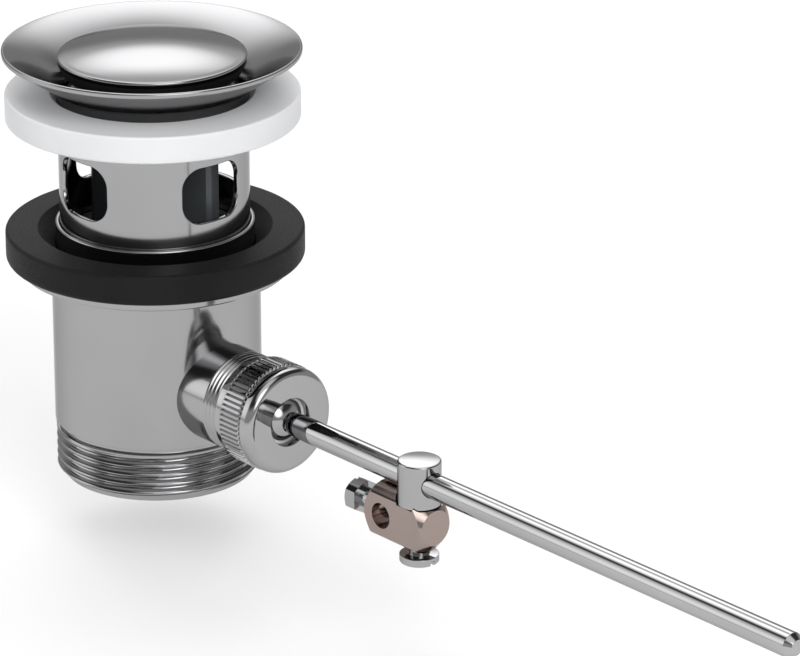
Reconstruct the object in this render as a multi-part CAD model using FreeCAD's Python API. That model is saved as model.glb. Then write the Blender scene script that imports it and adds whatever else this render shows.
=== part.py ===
import FreeCAD, Part
import math
import os

# A pop up basin waste: a windowed cup with a dished flange screws into a body
# with a threaded tail, and a ball jointed lever lifts the plug from below.
# All sizes are millimetres. The origin lies on the waste's axis in the plane of
# the basin's surface, +Z is up and the lever points along +X.

Vec = FreeCAD.Vector
UP = Vec(0, 0, 1)
ALONG = Vec(1, 0, 0)
ACROSS = Vec(0, 1, 0)

# Fits
slip = 0.1             # radial gap of a shaft that turns or slides in its hole
seat_gap = 0.15        # gap between faces that rest on each other
ball_gap = 0.06        # gap between the ball and its seats
ring_gap = 0.12        # gap round the rubber ring
contact_gap = 0.12     # gap between the lever's arm and the plug's screw
stud_seat_gap = 0.3    # gap round the stud in the block

# Cup and flange
bore_radius = 18.0
cup_wall = 1.2
flange_radius = 30.0
dish_angle = 31.6      # slope of the dish, in degrees from level
throat_radius = 6.4    # rounding between the dish and the bore
rim_edge = 1.1         # height of the rim's plain edge
cove_bands = 3         # tapers that make the rounding under the flange
cup_depth = 28.4       # from the basin's surface down to the cup's lower end
window_count = 4
window_width = 14.3
window_height = 12.05
window_corner = 4.2
window_drop = 5.55     # windows' upper edge below the basin's surface

# White washer above the basin
washer_thickness = 5.55
washer_inset = 0.4     # flange reaches this far past the washer
washer_flare = 1.4     # how much wider the hole's upper edge is than the tube
washer_lead = 1.2      # depth of the taper at that edge
flange_lift = 3.54     # dish's lower edge above the washer

# Black gasket below the basin
basin_thickness = 23.1
gasket_overlap = 0.2   # gasket reaches this far past the flange
gasket_thickness = 6.5
gasket_bevel = 0.8
recess_width = 3.55
recess_depth = 3.3

# Lower body
collar_wall = 0.85
collar_rise = 1.5      # collar's top above the gasket's top
collar_chamfer = 0.4
ledge_inset = 2.7      # ledge ends this far inside the gasket's edge
ledge_thickness = 1.8
ledge_cove = 1.6
body_wall = 1.85
end_seal_thickness = 1.4
tail_radius = 20.955   # one and a quarter inch pipe thread
tail_length = 11.5
tail_chamfer = 1.1
relief_width = 1.2     # groove between the thread and the barrel
relief_depth = 0.75
branch_clearance = 0.35  # between the branch and the thread

# Side branch, its ball and its seats
branch_drop = 53.4     # branch's axis below the basin's surface
branch_radius = 10.15
branch_wall = 1.65
branch_length = 15.85  # beyond the barrel
branch_thread = 11.4   # threaded length
branch_relief = 0.35
branch_bore = 6.0
ball_radius = 5.5
seat_lip = 1.3         # seats' holes are smaller than the ball by this radius
ball_set_in = 0.7      # ball's centre inside the branch's end
socket_depth = 7.5     # socket's floor behind the ball's centre
ring_width = 2.4       # rubber ring round the ball
ring_offset = 0.6      # ring's front edge ahead of the ball's centre

# Coupling nut
nut_skirt = 6.2        # nut's length behind the branch's end
nut_wall = 0.35
nut_collar = 2.2       # plain length at the back
rib_length = 5.3
rib_rise = 0.6         # ribs stand above the collar
rib_count = 48
rib_depth = 0.4
head_rise = 0.45       # smooth head stands above the collar
nut_groove = 0.5
nut_lid = 1.8
nut_round = 1.7
hole_inset = 0.57      # nut's opening is smaller than the ball by this radius

# Lever
rod_radius = 2.5
rod_length = 133.0
rod_point = 1.3        # length of the end's cone
rod_point_inset = 1.0
neck_inset = 0.5       # neck is thinner than the rod by this radius
neck_length = 0.9      # neck in front of the nut
shoulder_inset = 0.15  # shoulder is thinner than the rod by this radius
shoulder_length = 0.4
neck_cone = 5.2        # gentle taper from the shoulder to the rod
arm_radius = 2.0
arm_reach = 2.5        # how far the arm passes the waste's axis

# Plug
cap_overlap = 1.0      # cap is wider than the bore by this radius
cap_sink = 1.5         # cap's edge below the rim, with the plug open
cap_edge = 1.5
cap_crown = 2.2
cap_bevel = 0.35
cap_stud_radius = 3.0
cap_stud_length = 9.0
seal_inset = 0.15      # seal's edge inside the cap's edge
seal_taper = 1.0
seal_thickness = 2.0
plate_gap = 1.6        # between the guide's plate and the bore
plate_thickness = 1.5
fin_gap = 3.4
fin_thickness = 4.2
fin_length = 34.6
fin_turn = 17.2        # how far the fins stand turned from the windows, degrees
fin_round = 0.8
guide_gap = 0.3        # between the guide's ring and the bore
guide_ring_wall = 1.6
guide_ring_height = 2.0
hub_wall = 2.2
stem_radius = 2.9
stem_hold = 12.0
stem_point = 2.4       # length of the screw's cone
stem_point_radius = 0.5
locknut_flats = 10.0
locknut_height = 5.0

# Clamp on the lever
stud_place = 80.1      # distance of the stud from the waste's axis
stud_radius = 4.3
stud_above = 1.7       # stud's top above the rod
stud_below = 2.3       # stud's foot below the rod
stud_chamfer = 0.4
block_radius = 5.8
block_gap = 0.4        # between the rod and the block
block_flats = 8.0
block_back = 5.3       # block's length beyond the lift rod's hole
block_front = 0.4      # block's length beyond the stud
block_chamfer = 2.2
lift_hole_radius = 2.6
lift_hole_place = 6.8  # lift rod hole's distance from the stud's axis
screw_radius = 2.0
stud_head_radius = 3.9
stud_head_height = 1.6
stud_head_drop = 0.9   # daylight between the block and the head
hex_flats = 6.2
hex_height = 3.0
hex_standoff = 3.5
slot_width = 1.0
slot_depth = 1.0

# Radii that follow
tube_radius = bore_radius + cup_wall
washer_radius = flange_radius - washer_inset
washer_mouth = tube_radius + washer_flare
gasket_radius = flange_radius + gasket_overlap
cup_bore = tube_radius + slip
collar_radius = cup_bore + collar_wall
recess_radius = collar_radius + recess_width
ledge_radius = gasket_radius - ledge_inset
body_radius = cup_bore + body_wall
waterway_radius = bore_radius + slip
socket_radius = branch_radius - branch_wall
seat_hole = ball_radius - seat_lip
nut_bore = branch_radius + slip
nut_collar_radius = branch_radius + nut_wall
nut_radius = nut_collar_radius + rib_rise
nut_head_radius = nut_collar_radius + head_rise
nut_hole = ball_radius - hole_inset
neck_radius = rod_radius - neck_inset
shoulder_radius = rod_radius - shoulder_inset
cap_radius = bore_radius + cap_overlap
seal_radius = cap_radius - seal_inset
guide_plate_radius = bore_radius - plate_gap
fin_radius = bore_radius - fin_gap
guide_ring_radius = bore_radius - guide_gap
hub_radius = stem_radius + slip + hub_wall

# Levels that follow
lean_sin = math.sin(math.radians(dish_angle))
lean_cos = math.cos(math.radians(dish_angle))
throat_top_radius = bore_radius + throat_radius * (1 - lean_sin)
throat_top = washer_thickness + flange_lift
throat_level = throat_top - throat_radius * lean_cos
rim_height = throat_top + (flange_radius - throat_top_radius) * lean_sin / lean_cos
cup_end = -cup_depth
end_seal_bottom = cup_end - end_seal_thickness
gasket_top = -basin_thickness
gasket_bottom = gasket_top - gasket_thickness
collar_top = gasket_top + collar_rise
branch_height = -branch_drop
thread_top = branch_height - branch_radius - branch_clearance
tail_end = thread_top - tail_length
cap_edge_top = rim_height - cap_sink
seal_top = cap_edge_top - cap_edge
seal_bottom = seal_top - seal_thickness
fin_top = seal_bottom - plate_thickness
fin_bottom = fin_top - fin_length
stem_tip = branch_height + arm_radius + contact_gap
stud_top = branch_height + rod_radius + stud_above
stud_bottom = branch_height - rod_radius - stud_below
block_axis = branch_height - rod_radius - block_gap - block_radius
stud_head_top = block_axis - block_radius - stud_head_drop

# Places along the lever that follow
branch_end = body_radius + branch_length
ball_centre = branch_end - ball_set_in
socket_floor = ball_centre - socket_depth
ring_end = ball_centre + ring_offset
ring_start = ring_end - ring_width
nut_back = branch_end - nut_skirt
nut_rib_start = nut_back + nut_collar
nut_rib_end = nut_rib_start + rib_length
nut_face = ball_centre + ball_radius
neck_end = nut_face + neck_length
shoulder_end = neck_end + shoulder_length
rod_start = shoulder_end + neck_cone
rod_end = rod_start + rod_length
arm_root = ball_centre - math.sqrt(ball_radius ** 2 - arm_radius ** 2)
block_start = stud_place - lift_hole_place - block_back
block_end = stud_place + stud_radius + block_front
screw_bore = screw_radius + slip


def outline(start, *steps):
    """Closed face in the XZ plane: two numbers draw a line, four an arc by way of a point."""
    edges = []
    here = Vec(start[0], 0, start[1])
    for step in steps:
        goal = Vec(step[-2], 0, step[-1])
        if len(step) == 4:
            edges.append(Part.Arc(here, Vec(step[0], 0, step[1]), goal).toShape())
        else:
            edges.append(Part.makeLine(here, goal))
        here = goal
    edges.append(Part.makeLine(here, Vec(start[0], 0, start[1])))
    return Part.Face(Part.Wire(edges))


def turned(face):
    """Solid of revolution about the waste's axis."""
    return face.revolve(Vec(0, 0, 0), UP, 360)


def on_lever_axis(shape):
    """Lay a part turned about Z along the lever's axis, its Z becoming X."""
    laid = shape.copy()
    laid.rotate(Vec(0, 0, 0), ACROSS, 90)
    laid.translate(Vec(0, 0, branch_height))
    return laid


def rod(radius, start, end, level=branch_height):
    """Round bar along X at a given level."""
    return Part.makeCylinder(radius, end - start, Vec(start, 0, level), ALONG)


def hexagon(flats, height, at):
    """Upright six sided prism, standing on the point at."""
    corner = flats / 2 / math.cos(math.radians(30))
    ring = [Vec(corner * math.cos(math.radians(60 * k)), corner * math.sin(math.radians(60 * k)), 0)
            for k in range(7)]
    prism = Part.Face(Part.makePolygon(ring)).extrude(UP * height)
    prism.translate(at)
    return prism


def rounded_rectangle(width, height, corner):
    """Face in the YZ plane, centred on the X axis."""
    half_w = width / 2
    half_h = height / 2
    block = Part.makeBox(1, width, height, Vec(0, -half_w, -half_h))
    block = block.makeFillet(corner, [e for e in block.Edges if abs(e.tangentAt(0).x) > 0.9])
    return min(block.Faces, key=lambda f: f.CenterOfMass.x)


def waste_cup():
    """Dished flange and tube of one even wall, with windows for the overflow."""
    centre = bore_radius + throat_radius
    middle_lean = math.radians((90 + dish_angle) / 2)
    throat_middle = (centre - throat_radius * math.sin(middle_lean),
                     throat_level + throat_radius * math.cos(middle_lean))
    cove = throat_radius - cup_wall
    leans = [math.radians(dish_angle + (90 - dish_angle) * k / cove_bands) for k in range(cove_bands + 1)]
    under = [(centre - cove * math.sin(lean), throat_level + cove * math.cos(lean)) for lean in leans]
    profile = outline(
        (bore_radius, cup_end),
        (bore_radius, throat_level),
        (*throat_middle, throat_top_radius, throat_top),
        (flange_radius, rim_height),
        (flange_radius, rim_height - rim_edge),
        *under,
        (tube_radius, cup_end),
    )
    cup = turned(profile)
    middle = -window_drop - window_height / 2
    for k in range(window_count):
        window = rounded_rectangle(window_width, window_height, window_corner)
        cutter = window.extrude(ALONG * (tube_radius + cup_wall))
        cutter.translate(Vec(bore_radius / 2, 0, middle))
        cutter.rotate(Vec(0, 0, 0), UP, 360 * k / window_count)
        cup = cup.cut(cutter)
    return cup


def white_washer():
    """Thick washer between the flange and the basin, tapered where the cup's cove enters."""
    hole = tube_radius + seat_gap
    return turned(outline(
        (hole, 0),
        (washer_radius, 0),
        (washer_radius, washer_thickness),
        (washer_mouth, washer_thickness),
        (hole, washer_thickness - washer_lead),
    ))


def black_gasket():
    """Rubber gasket under the basin with a tapered recess round the collar."""
    hole = collar_radius + seat_gap
    foot = gasket_bottom + seat_gap
    return turned(outline(
        (hole, foot),
        (gasket_radius - gasket_bevel, foot),
        (gasket_radius, foot + gasket_bevel),
        (gasket_radius, gasket_top - gasket_bevel / 2),
        (gasket_radius - gasket_bevel / 2, gasket_top),
        (recess_radius, gasket_top),
        (hole, gasket_top - recess_depth),
    ))


def waste_body():
    """Lower body: collar, gasket ledge, barrel and threaded tail, with the side branch."""
    ledge_under = gasket_bottom - ledge_thickness
    cup_floor = end_seal_bottom - seat_gap
    relief_bottom = thread_top - relief_width
    barrel = turned(outline(
        (waterway_radius, tail_end),
        (tail_radius - tail_chamfer, tail_end),
        (tail_radius, tail_end + tail_chamfer),
        (tail_radius, relief_bottom),
        (tail_radius - relief_depth, relief_bottom),
        (tail_radius - relief_depth, thread_top),
        (body_radius, thread_top),
        (body_radius, ledge_under - ledge_cove),
        (body_radius + ledge_cove, ledge_under),
        (ledge_radius, ledge_under),
        (ledge_radius, gasket_bottom),
        (collar_radius, gasket_bottom),
        (collar_radius, collar_top - collar_chamfer),
        (collar_radius - collar_chamfer / 2, collar_top),
        (cup_bore, collar_top),
        (cup_bore, cup_floor),
        (waterway_radius, cup_floor),
    ))
    branch = rod(branch_radius, 0, branch_end)
    relief = rod(branch_radius + slip, branch_end - branch_thread - branch_relief, branch_end - branch_thread)
    relief = relief.cut(rod(branch_radius - branch_relief, 0, branch_end))
    well = Part.makeCylinder(waterway_radius, collar_top - tail_end, Vec(0, 0, tail_end), UP)
    body = barrel.fuse(branch.cut(relief).cut(well))
    body = body.cut(rod(branch_bore, 0, branch_end))
    body = body.cut(rod(socket_radius, socket_floor, branch_end))
    return body.removeSplitter()


def cup_end_seal():
    """Flat ring between the cup's lower end and the ledge in the body."""
    return turned(outline(
        (waterway_radius, end_seal_bottom),
        (tube_radius, end_seal_bottom),
        (tube_radius, cup_end),
        (waterway_radius, cup_end),
    ))


def inner_ball_seat():
    """Plastic seat on the socket's floor, with a taper that the ball rests against."""
    reach = (ball_radius + ball_gap) * math.sqrt(2)
    end = ring_start - ball_gap
    return on_lever_axis(turned(outline(
        (seat_hole, socket_floor),
        (socket_radius - slip, socket_floor),
        (socket_radius - slip, end),
        (reach - (ball_centre - end), end),
        (seat_hole, ball_centre - (reach - seat_hole)),
    )))


def ball_seal():
    """Rubber ring round the ball's widest part, between the two seats."""
    inner = ball_radius + ring_gap
    return on_lever_axis(turned(outline(
        (inner, ring_start),
        (socket_radius - ring_gap, ring_start),
        (socket_radius - ring_gap, ring_end),
        (inner, ring_end),
    )))


def outer_ball_seat():
    """Flanged plastic seat with a taper, pressed on the ball by the nut."""
    reach = (ball_radius + ball_gap) * math.sqrt(2)
    start = ring_end + ball_gap
    end = nut_face - nut_lid
    rim = branch_end + seat_gap
    return on_lever_axis(turned(outline(
        (reach - (start - ball_centre), start),
        (socket_radius - slip, start),
        (socket_radius - slip, rim),
        (branch_radius - seat_gap, rim),
        (branch_radius - seat_gap, end),
        (seat_hole, end),
        (seat_hole, ball_centre + (reach - seat_hole)),
    )))


def coupling_nut():
    """Ribbed nut with a rounded lid, turned about the branch."""
    lid = nut_face - nut_lid
    corner = nut_head_radius - nut_round
    swing = [math.radians(angle) for angle in (0, 30, 60)]
    lip = [(corner + nut_round * math.cos(a), nut_face - nut_round * (1 - math.sin(a))) for a in swing]
    body = turned(outline(
        (nut_bore, nut_back),
        (nut_collar_radius, nut_back),
        (nut_collar_radius, nut_rib_start - rib_rise),
        (nut_radius, nut_rib_start),
        (nut_radius, nut_rib_end),
        (nut_head_radius - nut_groove, nut_rib_end + nut_groove / 2),
        (nut_head_radius, nut_rib_end + nut_groove),
        *lip,
        (corner, nut_face),
        (nut_hole, nut_face),
        (nut_hole, lid),
        (nut_bore, lid),
    ))
    half_groove = math.pi * nut_radius / rib_count / 2
    floor = nut_radius - rib_depth
    top = nut_radius + rib_depth
    notch = Part.makePolygon([Vec(floor, 0, nut_rib_start), Vec(top, -2 * half_groove, nut_rib_start),
                              Vec(top, 2 * half_groove, nut_rib_start), Vec(floor, 0, nut_rib_start)])
    cutter = Part.Face(notch).extrude(UP * (rib_length + nut_groove / 4))
    cutters = []
    for k in range(rib_count):
        groove = cutter.copy()
        groove.rotate(Vec(0, 0, 0), UP, 360 * k / rib_count)
        cutters.append(groove)
    return on_lever_axis(body.cut(cutters))


def pivot_ball():
    """Ball with a flat for the inner arm, a short neck and a taper up to the rod."""
    ball_front = ball_centre + math.sqrt(ball_radius ** 2 - neck_radius ** 2)
    return on_lever_axis(turned(outline(
        (0, arm_root),
        (arm_radius, arm_root),
        (ball_radius, ball_centre, neck_radius, ball_front),
        (neck_radius, neck_end),
        (shoulder_radius, shoulder_end),
        (rod_radius, rod_start),
        (0, rod_start),
    )))


def lever_rod():
    """Plain outer rod with a tapered end."""
    shoulder = rod_end - rod_point
    bar = rod(rod_radius, rod_start, shoulder)
    point = Part.makeCone(rod_radius, rod_radius - rod_point_inset, rod_point,
                          Vec(shoulder, 0, branch_height), ALONG)
    return bar.fuse(point).removeSplitter()


def inner_arm():
    """Arm that runs from the ball through the branch and ends under the plug's screw."""
    half = arm_radius / 2
    bar = rod(arm_radius, -arm_reach, arm_root)
    tip = Part.makeCone(half, arm_radius, half, Vec(-arm_reach - half, 0, branch_height), ALONG)
    return bar.fuse(tip).removeSplitter()


def plug_cap():
    """Shallow domed cap with a bevelled edge and a stud that holds the guide."""
    crown = cap_edge_top + cap_crown
    dome_radius = (cap_radius ** 2 + cap_crown ** 2) / (2 * cap_crown)
    disc = turned(outline(
        (0, seal_top),
        (cap_radius, seal_top),
        (cap_radius, cap_edge_top - cap_bevel),
        (cap_radius - cap_bevel, cap_edge_top),
        (cap_radius - cap_bevel, crown),
        (0, crown),
    ))
    disc = disc.common(Part.makeSphere(dome_radius, Vec(0, 0, crown - dome_radius)))
    stud = Part.makeCylinder(cap_stud_radius, cap_stud_length, Vec(0, 0, seal_top - cap_stud_length), UP)
    return disc.fuse(stud).removeSplitter()


def plug_seal():
    """Tapered rubber seal clamped under the cap."""
    return turned(outline(
        (cap_stud_radius + slip, seal_bottom),
        (seal_radius - seal_taper, seal_bottom),
        (seal_radius, seal_top),
        (cap_stud_radius + slip, seal_top),
    ))


def plug_guide():
    """Cross of four thick fins between a round plate and a ring that runs in the tube."""
    plate = Part.makeCylinder(guide_plate_radius, plate_thickness, Vec(0, 0, fin_top), UP)
    hub = Part.makeCylinder(hub_radius, fin_length, Vec(0, 0, fin_bottom), UP)
    ring = Part.makeCylinder(guide_ring_radius, guide_ring_height, Vec(0, 0, fin_bottom), UP)
    inside = guide_ring_radius - guide_ring_wall
    ring = ring.cut(Part.makeCylinder(inside, guide_ring_height, Vec(0, 0, fin_bottom), UP))
    guide = plate.fuse(hub).fuse(ring)
    reach = guide_ring_radius - guide_ring_wall / 2
    for k in range(2):
        fin = Part.makeBox(2 * fin_radius, fin_thickness, fin_length,
                           Vec(-fin_radius, -fin_thickness / 2, fin_bottom))
        fin = fin.makeChamfer(fin_round, [e for e in fin.Edges if abs(e.tangentAt(0).z) > 0.9])
        arm = Part.makeBox(2 * reach, fin_thickness - 2 * fin_round, guide_ring_height,
                           Vec(-reach, fin_round - fin_thickness / 2, fin_bottom))
        for bar in (fin, arm):
            bar.rotate(Vec(0, 0, 0), UP, fin_turn + 90 * k)
            guide = guide.fuse(bar)
    stud_tip = seal_top - cap_stud_length
    stud_hole = Part.makeCylinder(cap_stud_radius + slip, cap_stud_length, Vec(0, 0, stud_tip), UP)
    stem_hole = Part.makeCylinder(stem_radius + slip, stem_hold, Vec(0, 0, fin_bottom), UP)
    return guide.cut(stud_hole).cut(stem_hole).removeSplitter()


def plug_stem():
    """Adjusting screw whose pointed end rests on the lever's arm."""
    shaft_start = stem_tip + stem_point
    shaft = Part.makeCylinder(stem_radius, fin_bottom + stem_hold - shaft_start, Vec(0, 0, shaft_start), UP)
    point = Part.makeCone(stem_point_radius, stem_radius, stem_point, Vec(0, 0, stem_tip), UP)
    return shaft.fuse(point).removeSplitter()


def plug_lock_nut():
    """Hexagon nut that locks the adjusting screw against the guide."""
    nut = hexagon(locknut_flats, locknut_height, Vec(0, 0, fin_bottom - locknut_height))
    hole = Part.makeCylinder(stem_radius + slip, locknut_height, Vec(0, 0, fin_bottom - locknut_height), UP)
    return nut.cut(hole)


def clamp_stud():
    """Upright stud with a cross hole for the lever and a threaded hole from below."""
    stud = Part.makeCylinder(stud_radius, stud_top - stud_bottom, Vec(stud_place, 0, stud_bottom), UP)
    top = [e for e in stud.Edges if abs(e.CenterOfMass.z - stud_top) < 0.01 and len(e.Vertexes) == 1]
    stud = stud.makeChamfer(stud_chamfer, top)
    stud = stud.cut(rod(rod_radius + slip, stud_place - stud_radius, stud_place + stud_radius))
    hole = Part.makeCylinder(screw_bore, branch_height - stud_bottom, Vec(stud_place, 0, stud_bottom), UP)
    return stud.cut(hole)


def clamp_block():
    """Round bar with flats and tapered ends, a seat for the stud and a hole for the lift rod."""
    small = block_radius - block_chamfer
    half = block_flats / 2
    bar = rod(block_radius, block_start + block_chamfer, block_end - block_chamfer, block_axis)
    back = Part.makeCone(small, block_radius, block_chamfer, Vec(block_start, 0, block_axis), ALONG)
    front = Part.makeCone(block_radius, small, block_chamfer,
                          Vec(block_end - block_chamfer, 0, block_axis), ALONG)
    slab = Part.makeBox(block_end - block_start, block_flats, 2 * block_radius,
                        Vec(block_start, -half, block_axis - block_radius))
    block = bar.fuse(back).fuse(front).common(slab)
    lift_place = stud_place - lift_hole_place
    seat = Part.makeCylinder(stud_radius + stud_seat_gap, block_radius,
                             Vec(stud_place, 0, stud_bottom - seat_gap), UP)
    shank = Part.makeCylinder(screw_bore, 2 * block_radius, Vec(stud_place, 0, block_axis - block_radius), UP)
    lift = Part.makeCylinder(lift_hole_radius, block_flats, Vec(lift_place, -half, block_axis), ACROSS)
    screw = rod(screw_bore, block_start, lift_place, block_axis)
    for cutter in (seat, shank, lift, screw):
        block = block.cut(cutter)
    return block.removeSplitter()


def stud_screw():
    """Slotted cheese head screw that holds the block on the stud and grips the lever."""
    tip = branch_height - rod_radius - seat_gap
    head_bottom = stud_head_top - stud_head_height
    head = Part.makeCylinder(stud_head_radius, stud_head_height, Vec(stud_place, 0, head_bottom), UP)
    shank = Part.makeCylinder(screw_radius, tip - stud_head_top, Vec(stud_place, 0, stud_head_top), UP)
    slot = Part.makeBox(2 * stud_head_radius, slot_width, slot_depth,
                        Vec(stud_place - stud_head_radius, -slot_width / 2, head_bottom))
    return head.fuse(shank).cut(slot).removeSplitter()


def lift_rod_screw():
    """Slotted hexagon screw in the block's end that grips the lift rod."""
    tip = stud_place - lift_hole_place - lift_hole_radius - seat_gap
    head_front = block_start - hex_standoff
    corner = hex_flats / 2 / math.cos(math.radians(30))
    bevel = corner - hex_flats / 2
    head = hexagon(hex_flats, hex_height, Vec(0, 0, 0))
    head = head.common(turned(outline(
        (0, 0),
        (hex_flats / 2, 0),
        (corner, bevel),
        (corner, hex_height),
        (0, hex_height),
    )))
    slot = Part.makeBox(2 * corner, slot_width, slot_depth, Vec(-corner, -slot_width / 2, 0))
    head = head.cut(slot)
    head.rotate(Vec(0, 0, 0), ACROSS, 90)
    head.translate(Vec(head_front - hex_height, 0, block_axis))
    return head.fuse(rod(screw_radius, head_front, tip, block_axis)).removeSplitter()


PARTS = {
    "waste_cup": waste_cup,
    "white_washer": white_washer,
    "black_gasket": black_gasket,
    "waste_body": waste_body,
    "cup_end_seal": cup_end_seal,
    "inner_ball_seat": inner_ball_seat,
    "ball_seal": ball_seal,
    "outer_ball_seat": outer_ball_seat,
    "coupling_nut": coupling_nut,
    "pivot_ball": pivot_ball,
    "lever_rod": lever_rod,
    "inner_arm": inner_arm,
    "plug_cap": plug_cap,
    "plug_seal": plug_seal,
    "plug_guide": plug_guide,
    "plug_stem": plug_stem,
    "plug_lock_nut": plug_lock_nut,
    "clamp_stud": clamp_stud,
    "clamp_block": clamp_block,
    "stud_screw": stud_screw,
    "lift_rod_screw": lift_rod_screw,
}

os.makedirs("parts", exist_ok=True)
for name, build in PARTS.items():
    build().exportStep("parts/" + name + ".step")
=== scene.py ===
import math

import bmesh
import bpy
from mathutils import Matrix, Vector


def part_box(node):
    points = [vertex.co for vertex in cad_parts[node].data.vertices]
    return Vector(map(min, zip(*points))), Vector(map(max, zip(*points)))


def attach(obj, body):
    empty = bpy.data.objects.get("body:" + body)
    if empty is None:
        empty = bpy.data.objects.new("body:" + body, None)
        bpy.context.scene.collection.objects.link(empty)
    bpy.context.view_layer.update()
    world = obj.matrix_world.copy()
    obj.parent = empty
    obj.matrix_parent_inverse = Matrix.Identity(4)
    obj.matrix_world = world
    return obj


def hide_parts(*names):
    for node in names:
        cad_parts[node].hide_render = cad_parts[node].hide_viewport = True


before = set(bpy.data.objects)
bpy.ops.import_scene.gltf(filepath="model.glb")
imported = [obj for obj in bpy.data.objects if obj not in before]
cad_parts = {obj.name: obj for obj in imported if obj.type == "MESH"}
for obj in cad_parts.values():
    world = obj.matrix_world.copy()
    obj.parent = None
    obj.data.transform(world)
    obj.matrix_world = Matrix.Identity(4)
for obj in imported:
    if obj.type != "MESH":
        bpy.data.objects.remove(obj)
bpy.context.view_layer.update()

# Visual model of a pop up basin waste, fitted round the solids of its frame

# Sizes are in millimetres here and become metres where a mesh is made.
MM = 0.001
CENTRE = (0, 0, 0)
UP = (0, 0, 1)
ALONG = (1, 0, 0)
ACROSS = (0, 1, 0)


def box_mm(node):
    """Lowest and highest corner of a solid of the frame, in millimetres."""
    low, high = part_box(node)
    return low / MM, high / MM


cup_low, cup_high = box_mm("waste_cup")
washer_high = box_mm("white_washer")[1]
gasket_low, gasket_high = box_mm("black_gasket")
body_low, body_high = box_mm("waste_body")
nut_low, nut_high = box_mm("coupling_nut")
ball_low = box_mm("pivot_ball")[0]
rod_low, rod_high = box_mm("lever_rod")
cap_low, cap_high = box_mm("plug_cap")
seal_high = box_mm("plug_seal")[1]
stud_low, stud_high = box_mm("clamp_stud")
block_low, block_high = box_mm("clamp_block")
cheese_low, cheese_high = box_mm("stud_screw")
hex_low, hex_high = box_mm("lift_rod_screw")

# Flange and cup
dish_angle = math.radians(31.6)
rim_edge = 1.1               # thickness of the flange at its rim
rim_round = 0.35
bore_radius = 18.0
cup_wall = 1.2
tube_radius = bore_radius + cup_wall
tube_end_edge = 0.3
throat_radius = 6.4
dish_inner_angle = math.radians(38)
dish_outer_angle = math.radians(25)
window_count = 4
window_width = 14.3
window_height = 11.5
window_corner = 4.2
window_top = -5.55
window_edge = 0.28
patch_margin = 1.6           # wall above and below a window that is built with it

# Steps in which the cup's rounded parts are made
cove_steps = 14
rim_steps = 5
dish_steps = 16
corner_steps = 32            # along a window's corner, its level sides and its upright sides
across_steps = 12
up_steps = 8
blend_steps = 5              # rings between a window and the border of its patch
edge_steps = 4               # rings over a window's rounded edge
quadrants = ((1, 1), (-1, 1), (-1, -1), (1, -1))

# Washer and gasket
washer_hole = 19.35
washer_mouth = 20.6
washer_lead = 1.2
washer_edge = 0.5
washer_hole_edge = 0.2
gasket_hole = 20.3
gasket_hole_edge = 0.2
gasket_recess = 23.7
gasket_edge = 1.1
gasket_top_edge = 0.77
recess_depth = 3.3
recess_edge = 0.25
recess_foot_edge = 0.15

# Lower body
collar_radius = 20.15
collar_edge = 0.4
cup_socket = 19.3
cup_socket_edge = 0.25
seal_space = 1.55            # height of the end seal's room under the cup
waterway = 18.2
waterway_edge = 0.3
ledge_radius = 27.5
ledge_thickness = 1.8
ledge_cove = 1.6
ledge_edge = 0.35
ledge_top_edge = 0.3
gasket_gap = 0.15
barrel_radius = 21.15
tail_radius = 20.955
tail_length = 11.5
tail_chamfer_depth = 1.3
tail_chamfer_length = 1.1
relief_width = 1.2
relief_depth = 0.75
relief_slope = 0.25
relief_low_edge = 0.2
relief_top_edge = 0.3
tail_pitch = 1.95
tail_depth = 0.95
tail_wall = 2.2              # what lies deeper than this under the crests has no thread
tail_run_out = 0.6           # length over which the thread fades at its top
tail_run_in = 0.5            # length over which it deepens from the tail's end
tail_start_share = 0.2       # share of the thread's depth at the tail's end
tail_finer_start = 1.0       # height over the tail's end from which it has a ring per thread step
thread_steps = 12
branch_radius = 10.15
branch_root = 18.4
branch_bore = 6.0
branch_edge = 0.4
branch_hole_reach = 30.0     # how far out the branch's hole is cut through the barrel
socket_radius = 8.5
socket_edge = 0.2
socket_floor = 28.8
branch_end = 37.0
branch_pitch = 1.1
branch_depth = 0.45
branch_wall = 0.8            # what lies deeper than this under the crests has no thread
branch_run_in = 0.6
branch_thread_start = 26.6

# Roundings of the sharpest edges, on the body, the nut and the screws
sharp_edge = 0.1
crisp_edge = 0.12

# Nut
nut_thread = 10.25
nut_collar = 10.5
nut_rib_start = 33.0
nut_rib_end = 38.3
nut_rib_radius = 11.1
nut_rib_edge = 0.15
nut_neck_depth = 0.45        # narrow neck between the ribs and the head
nut_neck_edge = 0.05
nut_neck_start = 0.25        # places past the ribs' end
nut_neck_end = 0.45
nut_head_start = 0.75
nut_head = 10.95
nut_round = 1.7
nut_round_steps = 10
nut_hole = 4.93
nut_hole_edge = 0.25
nut_lid = 1.8
rib_count = 66
rib_depth = 0.45
rib_lead = 0.35              # length of the slope in front of the ribs
rib_margin = 0.1
rib_wall = 0.3               # what lies deeper than this under the collar has no grooves
rib_step = 0.4               # length between rings along the ribs
sides_per_rib = 12
groove_half = 0.24           # half of a groove's width, in ribs

# Lever
ball_radius = 5.5
ball_centre = ball_low.x + ball_radius
ball_steps = 40
neck_radius = 2.0
neck_end = 42.7
neck_flare = 0.35            # how much wider the neck is where it leaves the ball
shoulder_radius = 2.35
shoulder_length = 0.4
rod_radius = (rod_high.z - rod_low.z) / 2
lever_level = (rod_high.z + rod_low.z) / 2
rod_point = 1.3
rod_point_edge = 0.25
rod_point_radius = 1.5
rod_tip_edge = 0.15

# Radius over the neck's and place past the ball, where the neck narrows
neck_foot = ((0.1, 0.12), (0, 0.4))
# Radius under the shoulder's and place before its end, where its edge is rounded
shoulder_edge = ((0.15, 0.2), (0.04, 0.06), (0, -0.05))

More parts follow.
